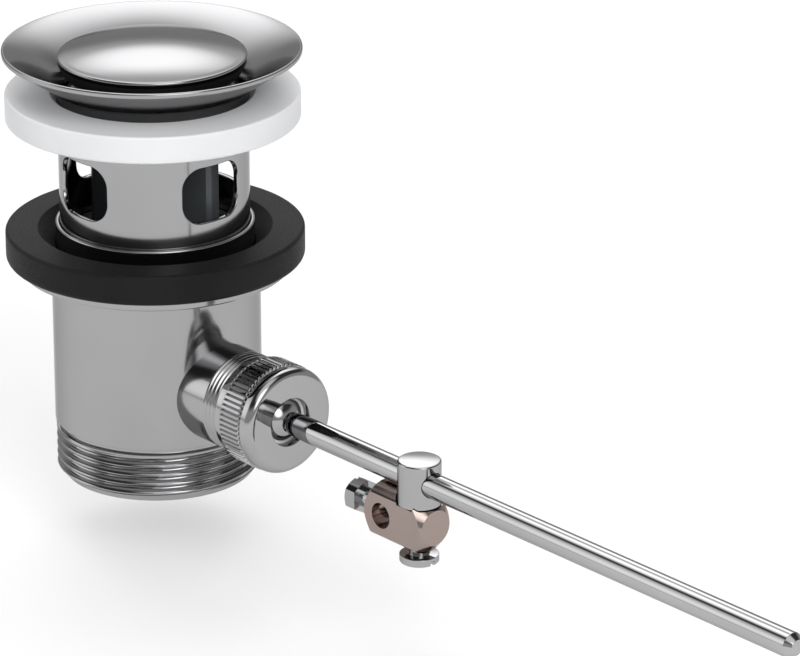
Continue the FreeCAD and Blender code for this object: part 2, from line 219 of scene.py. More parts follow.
# Plug's cap
cap_rise = 2.2               # height of the dome over its edge
cap_edge = 0.4
cap_edge_lift = 0.05
cap_edge_steps = 8
cap_edge_sweep = 95          # degrees from the side to where the dome begins
cap_edge_under = 20          # degrees under the level at which the rounding starts
cap_draw = 1.0               # how far the side draws in below the edge
cap_steps = 36
cap_stud_radius = 3.0

# Clamp
slip = 0.1                   # radial gap of a shaft in its hole
overrun = 1.0                # how far a cutting tool passes what it cuts
slab_reach = 10.0            # how far the block's tools reach from its middle
seat_reach = 9.0
lift_reach = 8.0
clamp_bevel = 0.12
stud_centre = (stud_high.x + stud_low.x) / 2
stud_foot_edge = 0.15
stud_top_edge = 0.4
stud_seat_radius = 4.6
stud_seat_gap = 0.15
block_flats = 8.0
block_radius = 5.8
block_level = block_low.z + block_radius
block_chamfer = 2.2
lift_hole = 2.6
lift_hole_place = 6.8
screw_radius = 2.0
slot_width = 1.0
slot_depth = 1.0
cheese_head = 1.6
cheese_edge = 0.35
cheese_bevel = 0.08
screw_tip_edge = 0.2
hex_sides = 6
hex_flats = 6.2
hex_height = 3.0
hex_bevel = 0.1
hex_face_inset = 0.1
hex_dome = 0.7
hex_dome_past = 0.3          # how far the dome's tool passes the corners
shank_overlap = 0.5

# Sides of the turned pieces
body_sides = 192
ring_sides = 240
block_sides = 144
clamp_sides = 128
rod_sides = 96
cap_stud_sides = 48

# Meshes and shading
weld_distance = 2e-7         # metres
cup_weld_distance = 2e-6
cup_sharp = 45               # degrees over which the cup's edges are shaded sharply
border_tolerance = 1e-6
angle_digits = 7
wall_tolerance = 0.006
wall_facing = 0.9            # least cosine between a round wall's direction and that of a face on it
level_tolerance = 0.01
sharp_margin = 10            # degrees past a bevel's own limit at which shading turns sharp

# Inner solids that keep their shape
kept_bevel = 0.15
kept_bevel_steps = 2
kept_sharp = math.radians(40)


# Mesh tools

def rounded(corners, steps=6):
    """Closed outline from corners of radius, level and rounding."""
    points = []
    for k, (radius, level, fillet) in enumerate(corners):
        here = Vector((radius, level))
        if fillet <= 0:
            points.append(here)
            continue
        back = (Vector(corners[k - 1][:2]) - here).normalized()
        ahead = (Vector(corners[(k + 1) % len(corners)][:2]) - here).normalized()
        half = back.angle(ahead) / 2
        centre = here + (back + ahead).normalized() * fillet / math.sin(half)
        start = here + back * fillet / math.tan(half) - centre
        end = here + ahead * fillet / math.tan(half) - centre
        sweep = start.angle(end)
        for s in range(steps + 1):
            t = s / steps
            spoke = start * math.sin((1 - t) * sweep) + end * math.sin(t * sweep)
            points.append(centre + spoke / math.sin(sweep))
    return points


def finer(points, low, high, step):
    """The outline with extra points where it runs along the levels from low to high."""
    result = []
    for k, here in enumerate(points):
        result.append(here)
        ahead = points[(k + 1) % len(points)]
        if min(here.y, ahead.y) >= low - level_tolerance and max(here.y, ahead.y) <= high + level_tolerance:
            parts = int(abs(ahead.y - here.y) / step)
            result += [here.lerp(ahead, s / parts) for s in range(1, parts)]
    return result


def even_angles(count):
    """Angles of a full circle, without the last one that closes it."""
    return [2 * math.pi * k / count for k in range(count)]


def angles_between(first, last, steps):
    """Angles from the first to the last, both included."""
    return [first + (last - first) * k / steps for k in range(steps + 1)]


def spin(bm, outline, angles, shape=None, closed=True):
    """Faces of an outline turned through a full circle of angles."""
    rings = []
    for angle in angles:
        ring = []
        for radius, level in outline:
            if shape:
                radius = shape(radius, level, angle)
            ring.append(bm.verts.new((radius * math.cos(angle) * MM,
                                      radius * math.sin(angle) * MM,
                                      level * MM)))
        rings.append(ring)
    last = len(outline) if closed else len(outline) - 1
    for k, ring in enumerate(rings):
        beside = rings[(k + 1) % len(rings)]
        for j in range(last):
            n = (j + 1) % len(outline)
            bm.faces.new((ring[j], ring[n], beside[n], beside[j]))


def to_object(name, bm, sharp=38):
    """Object from a built mesh, merged, facing outwards and smoothly shaded."""
    bmesh.ops.remove_doubles(bm, verts=bm.verts, dist=weld_distance)
    bmesh.ops.recalc_face_normals(bm, faces=bm.faces)
    mesh = bpy.data.meshes.new(name)
    bm.to_mesh(mesh)
    bm.free()
    mesh.shade_smooth()
    mesh.set_sharp_from_angle(angle=math.radians(sharp))
    piece = bpy.data.objects.new(name, mesh)
    bpy.context.scene.collection.objects.link(piece)
    return piece


def lathe(name, outline, count=body_sides, shape=None):
    """Piece turned about the Z axis from a closed outline."""
    bm = bmesh.new()
    spin(bm, outline, even_angles(count), shape)
    return to_object(name, bm)


def even_shading(piece):
    """Larger faces set the shading of the small ones beside them."""
    modifier = piece.modifiers.new("even_shading", "WEIGHTED_NORMAL")
    modifier.keep_sharp = True
    return piece


def lay_on_lever(piece, level):
    """Turn a piece made about Z so that it lies along X at a level."""
    turn = Matrix.Rotation(math.pi / 2, 4, "Y")
    piece.data.transform(Matrix.Translation((0, 0, level * MM)) @ turn)
    return piece


def applied(piece):
    """The piece with its modifiers made into mesh."""
    bpy.context.view_layer.update()
    evaluated = piece.evaluated_get(bpy.context.evaluated_depsgraph_get())
    made = bpy.data.meshes.new_from_object(evaluated)
    piece.modifiers.clear()
    old = piece.data
    piece.data = made
    bpy.data.meshes.remove(old)
    return piece


def combine(piece, tool, operation):
    """Cut, join or trim a piece with another, and drop the tool."""
    modifier = piece.modifiers.new("shape", "BOOLEAN")
    modifier.operation = operation
    modifier.object = tool
    modifier.solver = "EXACT"
    applied(piece)
    bpy.data.objects.remove(tool)
    return piece


def true_walls(piece, *walls):
    """Exact shading on round walls, each given by a point, a direction and a radius."""
    mesh = applied(even_shading(piece)).data
    normals = [corner.vector.copy() for corner in mesh.corner_normals]
    for point, direction, radius in walls:
        start, axis = Vector(point), Vector(direction)
        for face in mesh.polygons:
            for corner in face.loop_indices:
                place = mesh.vertices[mesh.loops[corner].vertex_index].co / MM - start
                spoke = place - axis * place.dot(axis)
                if abs(spoke.length - radius) > wall_tolerance:
                    continue
                facing = spoke.normalized().dot(face.normal)
                if abs(facing) > wall_facing:
                    normals[corner] = spoke.normalized() * math.copysign(1, facing)
    mesh.normals_split_custom_set(normals)
    return piece


def bevelled(piece, width, sharp=30, steps=3):
    """Small rounding along every sharp edge."""
    bevel = piece.modifiers.new("edges", "BEVEL")
    bevel.width = width * MM
    bevel.segments = steps
    bevel.limit_method = "ANGLE"
    bevel.angle_limit = math.radians(sharp)
    bevel.use_clamp_overlap = True
    mesh = applied(piece).data
    mesh.shade_smooth()
    mesh.set_sharp_from_angle(angle=math.radians(sharp + sharp_margin))
    return piece


def bar(name, radius, start, end, count=rod_sides):
    """Round bar along Z, for cutting and joining."""
    outline = [Vector((0, start)), Vector((radius, start)), Vector((radius, end)), Vector((0, end))]
    return lathe(name, outline, count)


def block_tool(name, low, high):
    """Plain box between two corners, for cutting."""
    bm = bmesh.new()
    bmesh.ops.create_cube(bm, size=1)
    size = Vector(high) - Vector(low)
    middle = (Vector(high) + Vector(low)) / 2
    for vert in bm.verts:
        vert.co = Vector((vert.co.x * size.x, vert.co.y * size.y, vert.co.z * size.z)) * MM + middle * MM
    return to_object(name, bm)


def shift(piece, x=0, y=0, z=0):
    """Move a piece's mesh by millimetres."""
    piece.data.transform(Matrix.Translation((x * MM, y * MM, z * MM)))
    return piece


def dress(piece, body, material, slot, *nodes):
    """Give a piece its material and its body, and hide the solids it stands for; the finish's name is not
    used.
    """
    piece.data.materials.clear()
    piece.data.materials.append(material)
    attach(piece, body)
    if nodes:
        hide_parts(*nodes)
    return piece


# Materials: noise is in cycles per metre and relief in metres.

plate_clouds = 45
plate_marks = 900
plate_relief = 0.00002
plate_relief_share = 0.02
plate_edge_tint = (0.6, 0.6, 0.6, 1)
mould_clouds = 60
mould_relief_share = 0.25


def new_material(name):
    """Material with its nodes and links."""
    material = bpy.data.materials.new(name)
    material.use_nodes = True
    return material, material.node_tree.nodes, material.node_tree.links


def add_noise(nodes, links, scale, detail=3.0, stretch=(1, 1, 1)):
    """Noise on the piece's own place in the object, in cycles per metre."""
    place = nodes.new("ShaderNodeTexCoord")
    mapping = nodes.new("ShaderNodeMapping")
    mapping.inputs["Scale"].default_value = stretch
    noise = nodes.new("ShaderNodeTexNoise")
    noise.inputs["Scale"].default_value = scale
    noise.inputs["Detail"].default_value = detail
    links.new(place.outputs["Object"], mapping.inputs["Vector"])
    links.new(mapping.outputs["Vector"], noise.inputs["Vector"])
    return noise.outputs["Fac"]


def ramp(nodes, links, source, low, high, start=0.35, end=0.65, smooth=False):
    """A value that runs from low to high as the source passes between start and end."""
    spread = nodes.new("ShaderNodeMapRange")
    spread.interpolation_type = "SMOOTHSTEP" if smooth else "LINEAR"
    spread.inputs["From Min"].default_value = start
    spread.inputs["From Max"].default_value = end
    spread.inputs["To Min"].default_value = low
    spread.inputs["To Max"].default_value = high
    links.new(source, spread.inputs["Value"])
    return spread.outputs["Result"]


def tint(nodes, links, source, dark, light):
    """A colour between two, chosen by the source."""
    mix = nodes.new("ShaderNodeMix")
    mix.data_type = "RGBA"
    mix.inputs["A"].default_value = (*dark, 1)
    mix.inputs["B"].default_value = (*light, 1)
    links.new(source, mix.inputs["Factor"])
    return mix.outputs["Result"]


def bump(nodes, links, source, strength, depth):
    """Surface relief from a height, with its depth in metres."""
    relief = nodes.new("ShaderNodeBump")
    relief.inputs["Strength"].default_value = strength
    relief.inputs["Distance"].default_value = depth
    links.new(source, relief.inputs["Height"])
    return relief.outputs["Normal"]


def joined(nodes, links, operation, first, second):
    """Result of one operation on two values, which are sockets or plain numbers."""
    maths = nodes.new("ShaderNodeMath")
    maths.operation = operation
    for socket, value in zip(maths.inputs, (first, second)):
        if isinstance(value, float):
            socket.default_value = value
        else:
            links.new(value, socket)
    return maths.outputs["Value"]


def plated(name, dark, light, smooth, dull, grain=(1, 1, 1)):
    """Plated metal: faint clouding, fine polishing marks and a trace of handling."""
    material, nodes, links = new_material(name)
    shader = nodes["Principled BSDF"]
    shader.inputs["Metallic"].default_value = 1.0
    shader.inputs["Specular Tint"].default_value = plate_edge_tint
    clouds = add_noise(nodes, links, plate_clouds, detail=4)
    marks = add_noise(nodes, links, plate_marks, detail=2, stretch=grain)
    links.new(tint(nodes, links, ramp(nodes, links, clouds, 0, 1), dark, light), shader.inputs["Base Color"])
    links.new(ramp(nodes, links, clouds, smooth, dull), shader.inputs["Roughness"])
    relief = bump(nodes, links, marks, plate_relief_share, plate_relief)
    links.new(relief, shader.inputs["Normal"])
    return material


def moulded(name, dark, light, smooth, dull, grain, depth, specular=0.5):
    """Moulded plastic or rubber: mottled colour, uneven sheen and a fine skin."""
    material, nodes, links = new_material(name)
    shader = nodes["Principled BSDF"]
    shader.inputs["Specular IOR Level"].default_value = specular
    clouds = add_noise(nodes, links, mould_clouds, detail=4)
    skin = add_noise(nodes, links, grain, detail=3)
    links.new(tint(nodes, links, ramp(nodes, links, clouds, 0, 1), dark, light), shader.inputs["Base Color"])
    links.new(ramp(nodes, links, skin, smooth, dull), shader.inputs["Roughness"])
    links.new(bump(nodes, links, skin, mould_relief_share, depth), shader.inputs["Normal"])
    return material


chrome = plated("chrome", (0.365, 0.365, 0.37), (0.39, 0.39, 0.395), smooth=0.03, dull=0.05)
soft_chrome = plated("soft_chrome", (0.35, 0.35, 0.355), (0.37, 0.37, 0.375), smooth=0.10, dull=0.13)
rod_chrome = plated("rod_chrome", (0.41, 0.41, 0.415), (0.44, 0.44, 0.445),
                    smooth=0.035, dull=0.06, grain=(0.05, 1, 1))
nickel = plated("nickel", (0.32, 0.26, 0.235), (0.35, 0.285, 0.26), smooth=0.10, dull=0.17)
white_plastic = moulded("white_plastic", (0.80, 0.805, 0.82), (0.84, 0.845, 0.855),
                        smooth=0.40, dull=0.52, grain=2600, depth=0.00002)
rubber = moulded("rubber", (0.008, 0.008, 0.0085), (0.012, 0.012, 0.013),
                 smooth=0.50, dull=0.66, grain=3200, depth=0.00003, specular=0.15)
dark_plastic = moulded("dark_plastic", (0.060, 0.066, 0.072), (0.080, 0.088, 0.095),
                       smooth=0.32, dull=0.45, grain=2600, depth=0.00002)


# Flange and cup

def bent(outer, outer_slope, inner, inner_slope, steps):
    """Points between two ends of a slope that gets steeper inwards, without the ends."""
    reach = (outer - inner).length / 3
    start = outer - Vector((math.cos(outer_slope), math.sin(outer_slope))) * reach
    end = inner + Vector((math.cos(inner_slope), math.sin(inner_slope))) * reach
    points = []
    for k in range(1, steps):
        t = k / steps
        points.append(outer * (1 - t) ** 3 + start * 3 * t * (1 - t) ** 2
                      + end * 3 * t ** 2 * (1 - t) + inner * t ** 3)
    return points


def cup_outline():
    """Open outline of flange and tube, from the windows' upper border outside to the one inside."""
    lean_sin, lean_cos, slope = math.sin(dish_angle), math.cos(dish_angle), math.tan(dish_angle)
    flange = cup_high.x
    top = cup_high.z
    centre_radius = bore_radius + throat_radius
    throat_top = top - (flange - (centre_radius - throat_radius * lean_sin)) * slope
    throat_level = throat_top - throat_radius * lean_cos
    cove = throat_radius - cup_wall
    under = [Vector((centre_radius - cove * math.sin(a), throat_level + cove * math.cos(a)))
             for a in reversed(angles_between(dish_angle, math.pi / 2, cove_steps))]
    throat = [Vector((centre_radius - throat_radius * math.sin(a),
                      throat_level + throat_radius * math.cos(a)))
              for a in angles_between(dish_inner_angle, math.pi / 2, cove_steps)]
    r = rim_round
    lower = [Vector((flange - r + r * math.cos(a), top - rim_edge + r + r * math.sin(a)))
             for a in angles_between(-math.pi / 2, 0, rim_steps)]
    upper = [Vector((flange - r + r * math.cos(a), top - r + r * math.sin(a)))
             for a in angles_between(0, math.pi / 2 + dish_outer_angle, rim_steps)]
    dish = bent(upper[-1], dish_outer_angle, throat[0], dish_inner_angle, dish_steps)
    return under + lower + upper + dish + throat


def window_outline(grow):
    """Rounded rectangle, grown on all sides, as points of arc length and level."""
    half_w = tube_radius * math.asin(window_width / 2 / tube_radius) + grow
    half_h = window_height / 2 + grow
    corner = window_corner + grow
    in_w = half_w - corner
    in_h = half_h - corner
    points = []
    for k, (sx, sy) in enumerate(quadrants):
        for s in range(corner_steps):
            a = math.pi / 2 * (k + s / corner_steps)
            points.append((sx * in_w + corner * math.cos(a), sy * in_h + corner * math.sin(a)))
        straight = across_steps if k % 2 == 0 else up_steps
        a = math.pi / 2 * (k + 1)
        nx, ny = quadrants[(k + 1) % len(quadrants)]
        start = Vector((sx * in_w + corner * math.cos(a), sy * in_h + corner * math.sin(a)))
        end = Vector((nx * in_w + corner * math.cos(a), ny * in_h + corner * math.sin(a)))
        points += [tuple(start.lerp(end, s / straight)) for s in range(straight)]
    return points


def points_between(start, end, steps):
    """Even points on a straight line, without its end."""
    points = []
    for s in range(steps):
        t = s / steps
        points.append((start[0] + (end[0] - start[0]) * t, start[1] + (end[1] - start[1]) * t))
    return points


def window_border(half_span, half_height):
    """Points of the patch's own border that face the points of the window's outline."""
    in_w = tube_radius * math.asin(window_width / 2 / tube_radius) - window_corner
    in_h = window_height / 2 - window_corner
    half = corner_steps // 2
    points = []
    for k, (sx, sy) in enumerate(quadrants):
        level = (sx * in_w, sy * half_height)
        corner = (sx * half_span, sy * half_height)
        upright = (sx * half_span, sy * in_h)
        if k % 2 == 0:
            points += points_between(upright, corner, half) + points_between(corner, level, half)
            points += points_between(level, (-level[0], level[1]), across_steps)
        else:
            points += points_between(level, corner, half) + points_between(corner, upright, half)
            points += points_between(upright, (upright[0], -upright[1]), up_steps)
    return points


def window_rings(border):
    """Rings of a patch as radius and points: outside wall, the window's edge, inside wall."""
    near = window_outline(window_edge)
    wall = []     # from the patch's border to the window
    for s in range(blend_steps):
        t = s / blend_steps
        wall.append([(b[0] + (n[0] - b[0]) * t, b[1] + (n[1] - b[1]) * t) for b, n in zip(border, near)])
    outer_edge = []
    inner_edge = []
    for a in angles_between(0, math.pi / 2, edge_steps):
        outline = window_outline(window_edge * (1 - math.sin(a)))
        inset = window_edge * (1 - math.cos(a))
        outer_edge.append((tube_radius - inset, outline))
        inner_edge.append((bore_radius + inset, outline))
    outside = [(tube_radius, ring) for ring in wall]
    inside = [(bore_radius, ring) for ring in reversed(wall)]
    return outside + outer_edge + inner_edge[::-1] + inside


def add_patch(bm, rings, turn, middle):
    """Piece of the tube's wall round one window, at a turn about the axis."""
    made = []
    for radius, ring in rings:
        made.append([bm.verts.new((radius * math.cos(turn + u / tube_radius) * MM,
                                   radius * math.sin(turn + u / tube_radius) * MM,
                                   (middle + v) * MM)) for u, v in ring])
    for a, b in zip(made, made[1:]):
        for j in range(len(a)):
            n = (j + 1) % len(a)
            bm.faces.new((a[j], a[n], b[n], b[j]))


def make_cup():
    """Cup whose windows have rounded edges and whose wall stays a true cylinder."""
    middle = window_top - window_height / 2
    half_height = window_height / 2 + patch_margin
    border = window_border(tube_radius * math.pi / window_count, half_height)
    rings = window_rings(border)
    turns = even_angles(window_count)
    bm = bmesh.new()
    for turn in turns:
        add_patch(bm, rings, turn, middle)
    top_edge = [u for u, v in border if v > half_height - border_tolerance]
    spans = sorted({round(u / tube_radius, angle_digits) for u in top_edge})
    angles = [turn + span for turn in turns for span in spans[:-1]]
    upper = middle + half_height
    lower = middle - half_height
    end = cup_low.z
    e = tube_end_edge
    spin(bm, [Vector((tube_radius, upper))] + cup_outline() + [Vector((bore_radius, upper))],
         angles, closed=False)
    spin(bm, [Vector((bore_radius, lower)), Vector((bore_radius, end + e)),
              Vector((bore_radius + e, end)), Vector((tube_radius - e, end)),
              Vector((tube_radius, end + e)), Vector((tube_radius, lower))],
         angles, closed=False)
    bmesh.ops.remove_doubles(bm, verts=bm.verts, dist=cup_weld_distance)
    cup = to_object("cup", bm, cup_sharp)
    return true_walls(cup, (CENTRE, UP, tube_radius), (CENTRE, UP, bore_radius))


# Washer and gasket

def make_washer():
    """White washer with softened edges and a tapered mouth."""
    e = washer_edge
    outline = rounded([
        (washer_hole, 0, washer_hole_edge),
        (washer_high.x, 0, e),
        (washer_high.x, washer_high.z, e),
        (washer_mouth, washer_high.z, washer_hole_edge),
        (washer_hole, washer_high.z - washer_lead, 0),
    ])
    return even_shading(lathe("washer", outline, ring_sides))


def make_gasket():
    """Rubber gasket with a tapered recess and well rounded edges."""
    outline = rounded([
        (gasket_hole, gasket_low.z, gasket_hole_edge),
        (gasket_high.x, gasket_low.z, gasket_edge),
        (gasket_high.x, gasket_high.z, gasket_top_edge),
        (gasket_recess, gasket_high.z, recess_edge),
        (gasket_hole, gasket_high.z - recess_depth, recess_foot_edge),
    ])
    return even_shading(lathe("gasket", outline, ring_sides))


# Lower body

def tooth(phase):
    """Depth of a thread, from 0 at the rounded crest to 1 at the root."""
    t = abs(2 * (phase % 1.0) - 1)
    return t * t * (3 - 2 * t)


def tail_shape(radius, level, angle):
    """Helical thread on the tail that runs out at both ends."""
    top = body_low.z + tail_length - relief_width
    if radius < tail_radius - tail_wall or level > top:
        return radius
    run_in = (level - body_low.z) / tail_run_in + tail_start_share
    fade = min(1.0, (top - level) / tail_run_out, run_in)
    return radius - tail_depth * max(fade, 0) * tooth(level / tail_pitch - angle / (2 * math.pi))


def make_barrel():
    """Collar, gasket ledge, barrel and threaded tail in one turned piece."""
    bottom = body_low.z
    thread_top = bottom + tail_length
    relief_low = thread_top - relief_width
    ledge_top = gasket_low.z - gasket_gap
    ledge_under = ledge_top - ledge_thickness
    socket_end = cup_low.z - seal_space
    outline = rounded([
        (waterway, bottom, waterway_edge),
        (tail_radius - tail_chamfer_depth, bottom, sharp_edge),
        (tail_radius, bottom + tail_chamfer_length, sharp_edge),
        (tail_radius, relief_low, 0),
        (tail_radius - relief_depth, relief_low + relief_slope, relief_low_edge),
        (tail_radius - relief_depth, thread_top, relief_top_edge),
        (barrel_radius, thread_top, crisp_edge),
        (barrel_radius, ledge_under, ledge_cove),
        (ledge_radius, ledge_under, ledge_edge),
        (ledge_radius, ledge_top, ledge_top_edge),
        (collar_radius, ledge_top, sharp_edge),
        (collar_radius, body_high.z, collar_edge),
        (cup_socket, body_high.z, cup_socket_edge),
        (cup_socket, socket_end, 0),
        (waterway, socket_end, 0),
    ])
    outline = finer(outline, bottom + tail_finer_start, relief_low, tail_pitch / thread_steps)
    barrel = lathe("barrel", outline, body_sides, tail_shape)
    hole = lay_on_lever(bar("hole", branch_bore, 0, branch_hole_reach), lever_level)
    barrel = combine(barrel, hole, "DIFFERENCE")
    return true_walls(barrel, (CENTRE, UP, barrel_radius), (CENTRE, UP, waterway))


def branch_shape(radius, level, angle):
    """Fine helical thread on the outer part of the branch."""
    if radius < branch_radius - branch_wall or level < branch_thread_start:
        return radius
    fade = min(1.0, (level - branch_thread_start) / branch_run_in)
    return radius - branch_depth * fade * tooth(level / branch_pitch - angle / (2 * math.pi))


def make_branch():
    """Side branch with its thread and the socket for the ball and its seats."""
    outline = rounded([
        (branch_bore, branch_root, 0),
        (branch_radius, branch_root, 0),
        (branch_radius, branch_end, branch_edge),
        (socket_radius, branch_end, socket_edge),
        (socket_radius, socket_floor, 0),
        (branch_bore, socket_floor, socket_edge),
    ])
    outline = finer(outline, branch_root, branch_end, branch_pitch / thread_steps)
    return lay_on_lever(even_shading(lathe("branch", outline, body_sides, branch_shape)), lever_level)


def nut_shape(radius, level, angle):
    """Narrow straight grooves between flat ribs round the nut's middle."""
    beyond_ribs = not nut_rib_start - rib_margin < level < nut_rib_end + 2 * rib_margin
    if radius < nut_collar - rib_wall or beyond_ribs:
        return radius
    from_groove = abs(angle * rib_count / (2 * math.pi) % 1 - 0.5)
    groove = max(0.0, 1 - (from_groove / groove_half) ** 2)
    start = min(1.0, (level - nut_rib_start + rib_margin) / rib_lead)
    return radius - rib_depth * start * groove


def make_nut():
    """Ribbed nut with a rounded lid and a round opening."""
    outline = rounded([
        (nut_thread, nut_low.x, 0),
        (nut_collar, nut_low.x, crisp_edge),
        (nut_collar, nut_rib_start - rib_lead, 0),
        (nut_rib_radius, nut_rib_start, nut_rib_edge),
        (nut_rib_radius, nut_rib_end, crisp_edge),
        (nut_head - nut_neck_depth, nut_rib_end + nut_neck_start, nut_neck_edge),
        (nut_head - nut_neck_depth, nut_rib_end + nut_neck_end, nut_neck_edge),
        (nut_head, nut_rib_end + nut_head_start, crisp_edge),
        (nut_head, nut_high.x, nut_round),
        (nut_hole, nut_high.x, nut_hole_edge),
        (nut_hole, nut_high.x - nut_lid, 0),
        (nut_thread, nut_high.x - nut_lid, 0),
    ], nut_round_steps)
    outline = finer(outline, nut_rib_start - rib_margin, nut_rib_end, rib_step)
    nut = lathe("nut", outline, rib_count * sides_per_rib, nut_shape)
    return lay_on_lever(even_shading(nut), lever_level)


# Lever

def make_ball():
    """Ball, neck and cone of the lever's pivot."""
    neck_angle = math.asin((neck_radius + neck_flare) / ball_radius)
    points = [Vector((0, ball_centre - ball_radius))]
    for k in range(1, ball_steps + 1):
        a = math.pi - (math.pi - neck_angle) * k / ball_steps
        points.append(Vector((ball_radius * math.sin(a), ball_centre + ball_radius * math.cos(a))))
    join = ball_centre + ball_radius * math.cos(neck_angle)
    shoulder = neck_end + shoulder_length
    points += [Vector((neck_radius + wider, join + past)) for wider, past in neck_foot]
    points.append(Vector((neck_radius, neck_end)))
    points += [Vector((shoulder_radius - under, shoulder - before)) for under, before in shoulder_edge]
    points += [Vector((rod_radius, rod_low.x)), Vector((0, rod_low.x))]
    return lay_on_lever(even_shading(lathe("ball", points, clamp_sides)), lever_level)


def make_rod():
    """Outer rod with a tapered end."""
    outline = rounded([
        (0, rod_low.x, 0),
        (rod_radius, rod_low.x, 0),
        (rod_radius, rod_high.x - rod_point, rod_point_edge),
        (rod_point_radius, rod_high.x, rod_tip_edge),
        (0, rod_high.x, 0),
    ])
    return lay_on_lever(even_shading(lathe("rod", outline, rod_sides)), lever_level)


# Plug

def make_cap():
    """Domed cap with a rounded edge over a side that draws in below it."""
    radius = cap_high.x
    edge_low = seal_high.z
    crown = cap_high.z
    edge_top = crown - cap_rise
    dome = (radius ** 2 + cap_rise ** 2) / (2 * cap_rise)
    points = [Vector((0, edge_low)), Vector((radius - cap_draw, edge_low))]
    reach = radius - cap_edge
    edge_middle = edge_top - cap_edge + cap_edge_lift
    for k in range(cap_edge_steps + 1):
        a = math.radians(cap_edge_sweep * k / cap_edge_steps - cap_edge_under)
        points.append(Vector((reach + cap_edge * math.cos(a), edge_middle + cap_edge * math.sin(a))))
    for k in range(1, cap_steps + 1):
        r = reach * (1 - k / cap_steps)
        points.append(Vector((r, crown - dome + math.sqrt(dome ** 2 - r ** 2))))
    return even_shading(lathe("cap", points, ring_sides))


def make_cap_stud():
    """Stud under the cap."""
    return even_shading(bar("cap_stud", cap_stud_radius, cap_low.z, seal_high.z, cap_stud_sides))


# Clamp

def make_stud():
    """Upright stud with a cross hole for the rod."""
    radius = (stud_high.x - stud_low.x) / 2
    rod_hole = rod_radius + slip
    outline = rounded([
        (0, stud_low.z, 0),
        (radius, stud_low.z, stud_foot_edge),
        (radius, stud_high.z, stud_top_edge),
        (0, stud_high.z, 0),
    ])
    stud = shift(lathe("stud", outline, clamp_sides), x=stud_centre)
    across = bar("hole", rod_hole, stud_low.x - overrun, stud_high.x + overrun)
    stud = combine(stud, lay_on_lever(across, lever_level), "DIFFERENCE")
    below = shift(bar("hole", screw_radius + slip, stud_low.z - overrun, lever_level), x=stud_centre)
    stud = bevelled(combine(stud, below, "DIFFERENCE"), clamp_bevel)
    return true_walls(stud, ((stud_centre, 0, 0), UP, radius), ((0, 0, lever_level), ALONG, rod_hole))


def make_block():
    """Clamp block: round bar with two flats, tapered ends, the stud's seat and its holes."""
    small = block_radius - block_chamfer
    start, end = block_low.x, block_high.x
    lift_place = stud_centre - lift_hole_place
    outline = [Vector((0, start)), Vector((small, start)),
               Vector((block_radius, start + block_chamfer)),
               Vector((block_radius, end - block_chamfer)),
               Vector((small, end)), Vector((0, end))]
    block = lay_on_lever(lathe("block", outline, block_sides), block_level)
    half = block_flats / 2
    slab = block_tool("slab", (start - overrun, -half, block_level - slab_reach),
                      (end + overrun, half, block_level + slab_reach))
    block = combine(block, slab, "INTERSECT")
    seat = bar("seat", stud_seat_radius, stud_low.z - stud_seat_gap, block_level + seat_reach)
    block = combine(block, shift(seat, x=stud_centre), "DIFFERENCE")
    shank = bar("shank", screw_radius + slip, block_level - seat_reach, block_level + seat_reach)
    block = combine(block, shift(shank, x=stud_centre), "DIFFERENCE")
    lift = bar("lift", lift_hole, -lift_reach, lift_reach)
    lift.data.transform(Matrix.Rotation(math.pi / 2, 4, "X"))
    block = combine(block, shift(lift, x=lift_place, z=block_level), "DIFFERENCE")
    screw = bar("screw", screw_radius + slip, start - overrun, lift_place)
    block = combine(block, lay_on_lever(screw, block_level), "DIFFERENCE")
    block = bevelled(block, clamp_bevel)
    return true_walls(block,
                      ((0, 0, block_level), ALONG, block_radius),
                      ((lift_place, 0, block_level), ACROSS, lift_hole),
                      ((stud_centre, 0, 0), UP, stud_seat_radius))


def make_stud_screw():
    """Slotted cheese head screw under the block."""
    head_radius = (cheese_high.x - cheese_low.x) / 2
    head_top = cheese_low.z + cheese_head
    half_slot = slot_width / 2
    outline = rounded([
        (0, cheese_low.z, 0),
        (head_radius, cheese_low.z, cheese_edge),
        (head_radius, head_top, crisp_edge),
        (screw_radius, head_top, sharp_edge),
        (screw_radius, cheese_high.z, screw_tip_edge),
        (0, cheese_high.z, 0),
    ])
    screw = shift(lathe("cheese_screw", outline, clamp_sides), x=stud_centre)
    slot = block_tool("slot", (cheese_low.x - overrun, -half_slot, cheese_low.z - overrun),
                      (cheese_high.x + overrun, half_slot, cheese_low.z + slot_depth))
    screw = bevelled(combine(screw, slot, "DIFFERENCE"), cheese_bevel)
    axis_foot = (stud_centre, 0, 0)
    return true_walls(screw, (axis_foot, UP, head_radius), (axis_foot, UP, screw_radius))


def make_rod_screw():
    """Slotted hexagon screw in the block's end."""
    corner = hex_flats / 2 / math.cos(math.pi / hex_sides)
    start = hex_low.x
    head_end = start + hex_height
    half_slot = slot_width / 2
    outline = [Vector((0, start)), Vector((corner, start)), Vector((corner, head_end)), Vector((0, head_end))]
    screw = lathe("hex_screw", outline, hex_sides)
    dome = lathe("dome", rounded([
        (0, start, 0),
        (hex_flats / 2 - hex_face_inset, start, 0),
        (corner + hex_dome_past, start + hex_dome, 0),
        (corner + hex_dome_past, head_end, 0),
        (0, head_end, 0),
    ]), rod_sides)
    screw = combine(screw, dome, "INTERSECT")
    screw = combine(screw, bar("shank", screw_radius, head_end - shank_overlap, hex_high.x), "UNION")
    slot = block_tool("slot", (-corner - overrun, -half_slot, start - overrun),
                      (corner + overrun, half_slot, start + slot_depth))
    screw = combine(screw, slot, "DIFFERENCE")
    screw = bevelled(lay_on_lever(screw, block_level), hex_bevel)
    return true_walls(screw, ((0, 0, block_level), ALONG, screw_radius))


# Every piece with its body, material, finish and the solid that it replaces

